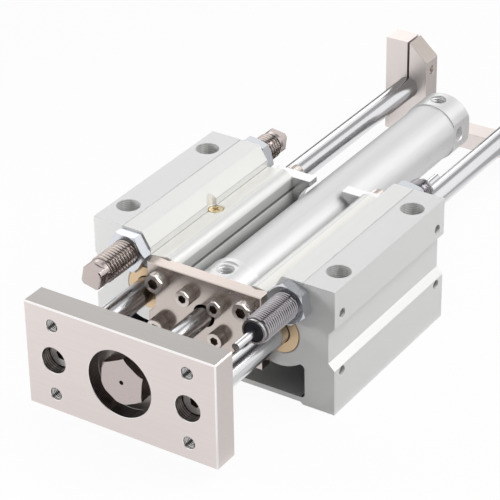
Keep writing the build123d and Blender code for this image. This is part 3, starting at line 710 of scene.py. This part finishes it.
class CYL_OT_materials(Operator):
    """Makes the node materials that the other steps use"""

    bl_idname = "cylinder.materials"
    bl_label = "Make Materials"

    def execute(self, context):
        scene = context.scene
        self.body(scene.cylinder_finish)
        self.plates(scene.cylinder_finish)
        self.cylinder(scene.cylinder_finish)
        self.fasteners(scene.cylinder_threads)
        plain_material("Black rubber", (0.02, 0.02, 0.02), 0.55)
        plain_material("Black plastic", (0.012, 0.012, 0.02), 0.45)
        plain_material("Wear plastic", (0.25, 0.22, 0.18), 0.5)
        return {"FINISHED"}

    def body(self, finish):
        """Anodised extrusion, with painted shade in its cavity, line grooves and channel and painted light
        and shade on its lands, shelf and slope, all by place, a painted highlight on its broken edges, and
        tool lines in its holes.
        """
        body = metal_material(
            "Anodised body", finish.body_color, finish.body_roughness, metallic=0.26, grain=0.25, scale=2500.0
        )
        # Painted shade: the cavity is painted near black, as it lies in shade.
        cavity = (("X", 0, 51.4), ("Y", 0, 51.2), ("Z", 13.0, 9.2))
        paint_box_shade(body, (0.036, 0.039, 0.052), cavity)
        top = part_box("guide_body")[1].z / MM
        # Painted shade in the line grooves, at the foot of the slope, in the shelf corner and on the lands;
        # painted light on the shelf and the slope.
        painted_light_strips = {
            "line_groove": (50.3, top - 0.55, 0.6, 0.5, (0.62, 0.62, 0.62)),
            "slope_foot": (34.5, top - 7.8, 0.5, 0.25, (0.75, 0.75, 0.75)),
            "shelf_corner": (34.5, top - 11.3, 0.4, 0.3, (0.68, 0.68, 0.68)),
            "shelf": (30.0, top - 10.8, 4.4, 1.1, (1.21, 1.20, 1.16)),
            "slope": (36.8, top - 4.0, 2.3, 3.4, (1.03, 1.025, 1.01)),
            "outer_land": (59.2, top, 8.3, 0.15, (0.88, 0.88, 0.89)),
            "inner_land": (44.4, top, 5.3, 0.15, (0.95, 0.95, 0.95)),
        }
        for strip in painted_light_strips.values():
            paint_strip_light(body, *strip)
        # Painted highlight on faces that lean half towards the front or the back, such as the broken edges at
        # the ends.
        shade_facing(body, "Y", 0.4, 0.9, (1.2, 1.2, 1.2))
        counterbore = (("X", 59.25, 6.3), ("Y", 34.25, 6.3), ("Z", top - 5.1, 4.8))
        tool_lines(body, "Z", 1.0, counterbore, 0.72)
        # Painted shade, near black at the bottom of the channel and in the relief groove, with painted light
        # under the groove and on the rounded shelf edge.
        low, high, channel_half = 36, 57.2, 25.4
        steps = [(low, 0.10), (high, 1.02), (42, 0.5), (44.9, 1.0), (45.9, 1.2), (46.0, 0.22), (47.4, 0.22)]
        steps += [(47.6, 0.70), (52.4, 0.82), (53.2, 1.2), (54.2, 1.15), (55.6, 0.98)]
        channel_shade(body, channel_half, low, high, steps)

    def plates(self, finish):
        """Nickel of the plates and of the rod end nut, and zinc of the retainer; the plates carry painted
        shade on their tops and bevels and painted highlights on their edges, the nut a painted shade in its
        centre hole.
        """
        plate = metal_material("Ground nickel", finish.plate_color, 0.30, grain=0.06, stretch=GROUND_X)
        # Painted shade on the faces that look up or down, such as the top of the plate.
        shade_facing(plate, "Z", 0.95, 1.1, (0.55, 0.575, 0.57))
        # Painted highlight on the broken edges that lean half towards the front or the back.
        shade_facing(plate, "Y", 0.4, 0.9, (1.30, 1.40, 1.44))
        face = -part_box("front_plate")[0].y / MM
        nut_pocket = (("X", 0.0, 17.6), ("Y", face - 4.2, 3.9), ("Z", 36.5, 17.6))
        tool_lines(plate, "Y", 0.9, nut_pocket, 0.35)
        screw_pocket = (("X", 37.0, 7.0), ("Y", face - 5.4, 5.0), ("Z", 36.5, 7.0))
        tool_lines(plate, "Y", 1.3, screw_pocket, 0.35)
        # Darker than the front plate's nickel: partly the bracket's own brown tone, partly painted shade
        # between the plate and the body.
        metal_material("Bracket nickel", (0.61, 0.54, 0.50), 0.18, grain=0.04, stretch=GROUND_X)
        metal_material("Retainer zinc", (0.70, 0.70, 0.70), 0.26, grain=0.04, stretch=GROUND_X)
        satin = metal_material("Satin nickel", (0.86, 0.79, 0.76), 0.40, grain=0.06, stretch=GROUND_Z)
        # Painted shade on the sloped bevels of the rear plate.
        shade_facing(satin, "Z", 0.5, 0.9, (0.62, 0.60, 0.58))
        nut = metal_material("Turned nickel", (0.54, 0.47, 0.46), 0.24)
        turning_marks(nut, (0, 0, AXIS_Z), 0.3 * MM, 0.25)
        # Painted shade: the centre hole of the nut is painted near black.
        axis_shade(nut, 0, AXIS_Z, 1.1 * MM, 1.2 * MM, 0.03)

    def cylinder(self, finish):
        """Metals of the rods, the tube, the covers, the bushings and the lubrication screw."""
        metal_material("Anodised tube", (0.75, 0.75, 0.75), 0.50, metallic=0.42, grain=0.1, stretch=DRAWN_Y)
        metal_material("Turned alloy", (0.84, 0.84, 0.84), 0.36, metallic=0.4, grain=0.1, stretch=TURNED)
        polish = finish.rod_roughness
        metal_material("Ground chrome", (0.80, 0.80, 0.82), polish, stretch=DRAWN_Y, streak=0.03)
        metal_material("Sintered bronze", (0.78, 0.58, 0.37), 0.36, metallic=0.7, grain=0.15)
        plug = metal_material("Plug brass", (0.86, 0.72, 0.46), 0.24, metallic=0.85)
        rim_shade(plug, "lubrication_plug", 0.45 * MM, 0.35)

    def fasteners(self, threads):
        """Metals of the screws, nuts and stops, with painted shade in the sockets, the tapped holes and the
        thread grooves, and painted light on the sunk screws.
        """
        metal_material("Screw nickel", (0.78, 0.71, 0.67), 0.13, metallic=0.8, streak=0.03)
        # Painted light: a lighter, less metallic copy of the screw nickel, for the screw heads that sit deep
        # in the front plate's pockets.
        metal_material("Sunk screw", (0.85, 0.82, 0.80), 0.20, metallic=0.4, streak=0.03)
        for name, color, roughness in (
            # Painted shade in the hexagon sockets of the screws.
            ("Screw socket", (0.30, 0.25, 0.22), 0.20),
            ("Bright zinc", (0.72, 0.74, 0.78), 0.24),
            ("Warm nickel", (0.57, 0.50, 0.48), 0.22),
            ("Grey nickel", (0.50, 0.49, 0.49), 0.18),
            # Painted shade: the threads in tapped holes are darker than the body and the plate that they are
            # cut into.
            ("Tapped metal", (0.50, 0.49, 0.49), 0.14),
        ):
            metal_material(name, color, roughness)
        adjuster = metal_material("Adjuster thread", (0.66, 0.58, 0.54), 0.16, streak=0.03)
        groove_shadow(adjuster, "front_adjuster", threads.depth, 0.25)
        shock = metal_material("Shock thread", (0.46, 0.44, 0.46), 0.14, streak=0.03)
        groove_shadow(shock, "front_shock_body", threads.shock_depth, 0.18)


class CYL_OT_body(Operator):
    """Builds the guide body with its bushings, wipers, side threads and lubrication screw"""

    bl_idname = "cylinder.body"
    bl_label = "Build Body"

    def execute(self, context):
        materials = bpy.data.materials
        edge = context.scene.cylinder_finish.edge
        dress("guide_body", "guide_unit", "body_alloy", materials["Anodised body"], edge)
        for end in ("front", "rear"):
            for side in ("left", "right"):
                dress(f"bushing_{end}_{side}", "guide_unit", "bronze", materials["Sintered bronze"])
                dress(f"rod_wiper_{end}_{side}", "guide_unit", "seal_rubber", materials["Black rubber"])
        depth = context.scene.cylinder_threads.hole_depth
        floor_x, row_y, heights = 57.55, 44.8, (21.5, 52.8)
        tree = thread_tree()
        for side, sx in (("left", -1), ("right", 1)):
            seats = [Vector((sx * floor_x, y, z)) * MM for y in (-row_y, row_y) for z in heights]
            turn = Vector((0, sx * math.radians(90), 0))
            sizes = {"root": 2.5 * MM, "depth": depth, "length": 9.5 * MM, "pitch": 0.8 * MM, "turn": turn}
            metal = materials["Tapped metal"]
            holes = thread(f"side_threads_{side}", tree, seats, metal, hole=True, **sizes)
            settle(holes, "guide_unit", "body_alloy")
        bpy.data.node_groups.remove(tree)
        dress("lubrication_plug", "guide_unit", "plug_brass", materials["Plug brass"])
        return {"FINISHED"}


class CYL_OT_plates(Operator):
    """Builds the front plate, the bracket, the retainer, the rear plate and the rod end nut"""

    bl_idname = "cylinder.plates"
    bl_label = "Build Plates"

    def execute(self, context):
        edge = context.scene.cylinder_finish.edge
        materials = bpy.data.materials
        for node, body, bevel, paint in (
            ("front_plate", "carriage", edge, "Ground nickel"),
            ("rear_plate", "carriage", edge, "Satin nickel"),
            ("cylinder_bracket", "guide_unit", 0.0, "Bracket nickel"),
            ("bushing_retainer", "guide_unit", edge, "Retainer zinc"),
            ("rod_end_nut", "carriage", 0.0, "Turned nickel"),
        ):
            dress(node, body, "nickel_steel", materials[paint], bevel)
        low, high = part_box("front_plate")
        depth = context.scene.cylinder_threads.hole_depth
        half_x, half_z = 37, 18.5
        start = high.y - 0.3 * MM
        length = high.y - low.y - 0.8 * MM
        tree = thread_tree()
        corners = [(x, z) for x in (-half_x, half_x) for z in (-half_z, half_z)]
        seats = [Vector((x * MM, start, AXIS_Z + z * MM)) for x, z in corners]
        sizes = {"root": 3.0 * MM, "depth": depth, "length": length, "pitch": 1.0 * MM, "turn": FRONT}
        holes = thread("plate_threads", tree, seats, materials["Tapped metal"], hole=True, **sizes)
        settle(holes, "carriage", "nickel_steel")
        bpy.data.node_groups.remove(tree)
        return {"FINISHED"}


class CYL_OT_cylinder(Operator):
    """Builds the rods, the tube and the covers"""

    bl_idname = "cylinder.cylinder"
    bl_label = "Build Cylinder"

    def execute(self, context):
        materials = bpy.data.materials
        chrome = materials["Ground chrome"]
        for node in ("guide_rod_left", "guide_rod_right"):
            settle(plain_rod(node, chrome), "carriage", "ground_chrome", node)
        rods = {"piston_rod": "carriage", "front_shock_rod": "front_shock", "rear_shock_rod": "rear_shock"}
        for node, body in rods.items():
            dress(node, body, "ground_chrome", chrome)
        dress("cylinder_tube", "guide_unit", "tube_alloy", materials["Anodised tube"])
        alloy = materials["Turned alloy"]
        port_floor = 8.6 * MM
        depth = context.scene.cylinder_threads.hole_depth
        tree = thread_tree()
        for node, y, length in (("front_cover", -39.5, 7.0), ("rear_cover", 168.0, 6.8)):
            dress(node, "guide_unit", "cover_alloy", alloy)
            seats = [Vector((0, y * MM, AXIS_Z + port_floor))]
            sizes = {"root": 4.5 * MM, "depth": depth, "length": length * MM, "pitch": 0.9 * MM}
            port = thread(node + "_port", tree, seats, alloy, turn=Vector(), hole=True, **sizes)
            settle(port, "guide_unit", "cover_alloy")
        bpy.data.node_groups.remove(tree)
        return {"FINISHED"}


class CYL_OT_screws(Operator):
    """Builds four sets of socket screws from one node tree, and the clamp screws as packed"""

    bl_idname = "cylinder.screws"
    bl_label = "Build Screws"

    def execute(self, context):
        tree = screw_tree()
        materials = bpy.data.materials
        nickel = materials["Screw nickel"]
        sunk = materials["Sunk screw"]
        for seed, (node, body, paint, turn, (dx, dz), y, screw, length) in enumerate(
            (
                ("bracket_screws", "guide_unit", nickel, FRONT, (24.6, 12.4), -58.5, M6, 16.0),
                ("retainer_screws", "guide_unit", nickel, REAR, (24.6, 12.4), 58.5, M6, 16.0),
                ("cover_screws", "guide_unit", nickel, FRONT, (8.8, 8.7), -58.5, M5, 15.0),
                ("guide_rod_screws", "carriage", sunk, FRONT, (37.0, 0.0), -116.0, M8_LOW, 18.0),
            )
        ):
            rows = (-1, 1) if dz else (0,)
            seats = [Vector((sx * dx * MM, y * MM, AXIS_Z + sz * dz * MM)) for sx in (-1, 1) for sz in rows]
            values = {name: size * MM for name, size in screw.items()}
            values.update({"Shank Length": length * MM, "Knurl": 0.2 * MM, "Turn": turn, "Seed": seed})
            values.update({"Material": paint, "Socket Shade Material": materials["Screw socket"]})
            settle(grown(node + "_looks", tree, seats, values), body, "screw_steel", node)
        dress("rod_clamp_screws", "carriage", "screw_steel", nickel)
        bpy.data.node_groups.remove(tree)
        return {"FINISHED"}


class CYL_OT_stops(Operator):
    """Builds the adjusters and shock absorbers with their threads and lock nuts"""

    bl_idname = "cylinder.stops"
    bl_label = "Build Stops"

    def execute(self, context):
        threads = context.scene.cylinder_threads
        tree = thread_tree()
        for end, way, turn in (("front", 1, -12.0), ("rear", -1, -8.0)):
            self.adjuster(tree, f"{end}_adjuster", way, turn, threads)
        for end, way in (("front", 1), ("rear", -1)):
            self.shock(tree, end, way, threads)
            for kind in ("adjuster", "shock"):
                dress(f"{end}_{kind}_nut", "guide_unit", "zinc_steel", bpy.data.materials["Bright zinc"])
        bpy.data.node_groups.remove(tree)
        return {"FINISHED"}

    def shank(self, tree, node, way, plain, paint, depth, pitch):
        """Thread over the box of a node, short of its outer end by the plain length."""
        low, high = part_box(node)
        centre = (low + high) / 2
        start, end = (low.y + plain, high.y) if way > 0 else (low.y, high.y - plain)
        root = (high.x - low.x) / 2 - depth
        seats = [Vector((centre.x, end, centre.z))]
        metal = bpy.data.materials[paint]
        return thread(node + "_thread", tree, seats, metal, root, depth, end - start, pitch, FRONT)

    def adjuster(self, tree, node, way, turn, threads):
        """Threaded shank and square end of one adjuster."""
        low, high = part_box(node)
        centre = (low + high) / 2
        square = 7.0 * MM
        shank = self.shank(tree, node, way, square, "Adjuster thread", threads.depth, threads.pitch)
        settle(shank, "guide_unit", "adjuster_nickel")
        tip = low.y if way > 0 else high.y
        metal = bpy.data.materials["Warm nickel"]
        head = square_end(node + "_looks", centre.x, centre.z, tip, way, metal, turn)
        settle(head, "guide_unit", "adjuster_nickel", node)

    def shock(self, tree, end, way, threads):
        """Threaded body, bright collar and black cap of one shock absorber."""
        materials = bpy.data.materials
        node = f"{end}_shock_body"
        low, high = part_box(node)
        centre = (low + high) / 2
        plain = 1.0 * MM
        sizes = (threads.shock_depth, threads.shock_pitch)
        shell = self.shank(tree, node, way, plain, "Shock thread", *sizes)
        settle(shell, "guide_unit", "shock_steel", node)
        inner, outer, depth = 5.2 * MM, 6.2 * MM, 1.2 * MM
        start, stop = (low.y, low.y + depth) if way > 0 else (high.y - depth, high.y)
        profile = ((inner, start), (outer, start), (outer, stop), (inner, stop))
        grey = materials["Grey nickel"]
        collar = lathe(f"{end}_shock_collar", profile, centre.x, centre.z, grey, segments=64, closed=True)
        settle(collar, "guide_unit", "shock_steel")
        dress(f"{end}_shock_cap", "guide_unit", "shock_cap_black", materials["Black plastic"])


class CYL_OT_inside(Operator):
    """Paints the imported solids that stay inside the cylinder"""

    bl_idname = "cylinder.inside"
    bl_label = "Paint Inside"

    def execute(self, context):
        materials = bpy.data.materials
        inside = {
            "piston": "Turned alloy",
            "piston_nut": "Bright zinc",
            "piston_seal": "Black rubber",
            "rod_seal": "Black rubber",
            "front_cover_seal": "Black rubber",
            "rear_cover_seal": "Black rubber",
            "rod_bush": "Sintered bronze",
            "wear_ring": "Wear plastic",
            "magnet_ring": "Black plastic",
        }
        for node, paint in inside.items():
            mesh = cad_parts[node].data
            mesh.materials.clear()
            mesh.materials.append(materials[paint])
        return {"FINISHED"}


class CYL_OT_stage(Operator):
    """Sets up the floor, the light and the camera"""

    bl_idname = "cylinder.stage"
    bl_label = "Set Stage"

    def execute(self, context):
        scene = context.scene
        stage = scene.cylinder_stage
        scene.view_settings.view_transform = "Standard"
        self.floor(stage)
        self.world(scene, stage)
        self.lights(stage)
        self.cards()
        self.camera(scene)
        return {"FINISHED"}

    def seen(self, tree, in_mirrors=1.0, depth=1.5):
        """One for camera rays, as much as asked for their first bounce off metal or way through glass."""
        path = put(tree, "ShaderNodeLightPath").outputs
        mirrored = math_node(tree, "MAXIMUM", path["Is Glossy Ray"], path["Is Transmission Ray"])
        first = math_node(tree, "LESS_THAN", path["Ray Depth"], depth)
        mirrored = product(tree, mirrored, first, in_mirrors)
        return math_node(tree, "MAXIMUM", path["Is Camera Ray"], mirrored)

    def floor(self, stage):
        """Large floor that lights the object as grey and looks white, with a faint shadow."""
        mesh = bpy.data.meshes.new("floor")
        reach = 6.0
        corners = [(-reach, -reach, 0), (reach, -reach, 0), (reach, reach, 0), (-reach, reach, 0)]
        mesh.from_pydata(corners, [], [(0, 1, 2, 3)])
        floor = new_object("floor", mesh)
        material, tree, shader = blank_material("Floor")
        colors = {"Factor": self.seen(tree), "A": (*stage.floor_color, 1), "B": (0.85, 0.85, 0.85, 1)}
        tint = put(tree, "ShaderNodeMix", colors, data_type="RGBA")
        wire(tree, tint.outputs["Result"], shader.inputs["Base Color"])
        shader.inputs["Roughness"].default_value = 0.9
        shader.inputs["Specular IOR Level"].default_value = 0.0
        glow = put(tree, "ShaderNodeEmission", {"Color": (1, 1, 1, 1), "Strength": 1.0})
        share = product(tree, self.seen(tree, 0.9), stage.floor_white)
        choose = put(tree, "ShaderNodeMixShader", {0: share, 1: shader.outputs[0], 2: glow.outputs[0]})
        wire(tree, choose.outputs[0], tree.nodes["Material Output"].inputs[0])
        mesh.materials.append(material)

    def world(self, scene, stage):
        """White where it is seen, a soft vertical gradient where it lights the object."""
        world = bpy.data.worlds.new("Studio")
        scene.world = world
        world.use_nodes = True
        tree = world.node_tree
        tree.nodes.clear()
        up = split(tree, put(tree, "ShaderNodeTexCoord").outputs["Generated"])["Z"]
        height = math_node(tree, "ADD", product(tree, up, 0.5), 0.5)
        ramp = put(tree, "ShaderNodeValToRGB", {0: height})
        for point, position, level in zip(ramp.color_ramp.elements, (0.35, 0.75), (0.8, 1.0)):
            point.position = position
            point.color = (level, level, level, 1)
        soft = put(tree, "ShaderNodeBackground", {"Color": ramp.outputs[0], "Strength": stage.fill_strength})
        white = put(tree, "ShaderNodeBackground", {"Color": (1, 1, 1, 1), "Strength": 1.0})
        seen = self.seen(tree, depth=2.5)
        choose = put(tree, "ShaderNodeMixShader", {0: seen, 1: soft.outputs[0], 2: white.outputs[0]})
        put(tree, "ShaderNodeOutputWorld", {0: choose.outputs[0]})

    def lights(self, stage):
        """Large key from the upper right, a low softbox behind on the left and a small lamp at the front."""
        for name, place, size, power in (
            ("key", (0.58, 0.24, 0.74), 0.6, stage.key_power),
            ("strip", (-0.77, 1.01, 0.56), 0.5, stage.key_power * 0.10),
            ("front_left", (-0.25, -0.30, 0.12), 0.12, stage.key_power * 0.12),
        ):
            data = bpy.data.lights.new(name, "AREA")
            data.energy = power
            data.size = size
            light = new_object(name, data)
            light.visible_glossy = name != "front_left"
            self.aim(light, place)

    def cards(self):
        """Grey cards that only metal mirrors: the room, a flag above, and more on the left and right."""
        for name, place, target, width, height, level in (
            ("room", (0.95, -1.44, 1.01), (0, 0, 0.03), 2.2, 1.6, 0.10),
            ("flag", (0.02, 0.56, 0.51), (0, 0.05, 0.03), 0.26, 0.6, 0.40),
            ("left_wall", (-1.4, 1.5, 0.18), (0, 0, 0.18), 1.6, 0.36, 0.20),
            ("left_flag", (-0.86, 1.16, 0.002), (-0.86, 1.16, 1.0), 1.6, 2.0, 0.20),
            ("right_flag", (0.46, 0.45, 0.002), (0.46, 0.45, 1.0), 0.8, 1.2, 0.74),
            ("back_flag", (0.23, 0.45, 0.003), (0.23, 0.45, 1.0), 0.52, 0.5, 0.45),
        ):
            mesh = bpy.data.meshes.new(name)
            x, y = width / 2, height / 2
            mesh.from_pydata([(-x, -y, 0), (x, -y, 0), (x, y, 0), (-x, y, 0)], [], [(0, 1, 2, 3)])
            material, tree, shader = blank_material(name)
            grey = put(tree, "ShaderNodeEmission", {"Color": (1, 1, 1, 1), "Strength": level})
            wire(tree, grey.outputs[0], tree.nodes["Material Output"].inputs[0])
            mesh.materials.append(material)
            card = new_object(name, mesh)
            for ray in ("camera", "diffuse", "shadow", "transmission"):
                setattr(card, "visible_" + ray, False)
            self.aim(card, place, target)

    def aim(self, obj, place, target=(0, 0, 0.03)):
        """Places a lamp or card so that it faces a point."""
        obj.location = place
        obj.rotation_mode = "QUATERNION"
        obj.rotation_quaternion = (Vector(target) - Vector(place)).to_track_quat("-Z", "Y")

    def camera(self, scene):
        """The photograph's own viewpoint."""
        azimuth, elevation, roll = (math.radians(v) for v in (33.390, 30.465, -0.964))
        out = math.cos(elevation)
        back = Vector((math.sin(azimuth) * out, -math.cos(azimuth) * out, math.sin(elevation)))
        right = Vector((math.cos(azimuth), math.sin(azimuth), 0))
        up = back.cross(right)
        across = math.cos(roll) * right + math.sin(roll) * up
        upward = -math.sin(roll) * right + math.cos(roll) * up
        turn = Matrix((across, upward, back)).transposed().to_4x4()
        data = bpy.data.cameras.new("camera")
        data.lens = 164.767
        data.sensor_width = 36.0
        data.clip_start = 0.05
        data.clip_end = 20.0
        camera = new_object("camera", data)
        place = (0.520368, -0.807594, 0.608266)
        camera.matrix_world = Matrix.Translation(place) @ turn
        scene.camera = camera


class CYL_PT_panel(Panel):
    """Buttons and settings of the cylinder's looks"""

    bl_idname = "CYL_PT_panel"
    bl_label = "Guided Cylinder"
    bl_space_type = "VIEW_3D"
    bl_region_type = "UI"
    bl_category = "Cylinder"

    def draw(self, context):
        layout = self.layout
        for group in GROUPS:
            settings = getattr(context.scene, group)
            box = layout.box()
            for name in settings.__annotations__:
                box.prop(settings, name)
        for step in STEPS:
            layout.operator(step.bl_idname)


STEPS = (
    CYL_OT_materials,
    CYL_OT_body,
    CYL_OT_plates,
    CYL_OT_cylinder,
    CYL_OT_screws,
    CYL_OT_stops,
    CYL_OT_inside,
    CYL_OT_stage,
)
GROUPS = {
    "cylinder_finish": CylinderFinish,
    "cylinder_threads": CylinderThreads,
    "cylinder_stage": CylinderStage,
}
CLASSES = (*GROUPS.values(), *STEPS, CYL_PT_panel)


def register():
    """Registers the classes and hangs the settings on the scene."""
    for cls in CLASSES:
        bpy.utils.register_class(cls)
    for name, group in GROUPS.items():
        setattr(bpy.types.Scene, name, PointerProperty(type=group))


def unregister():
    """Takes everything away again."""
    for name in reversed(GROUPS):
        delattr(bpy.types.Scene, name)
    for cls in reversed(CLASSES):
        bpy.utils.unregister_class(cls)


def main():
    """Runs every step in order."""
    register()
    bpy.ops.cylinder.materials()
    bpy.ops.cylinder.body()
    bpy.ops.cylinder.plates()
    bpy.ops.cylinder.cylinder()
    bpy.ops.cylinder.screws()
    bpy.ops.cylinder.stops()
    bpy.ops.cylinder.inside()
    bpy.ops.cylinder.stage()


if __name__ == "__main__":
    main()
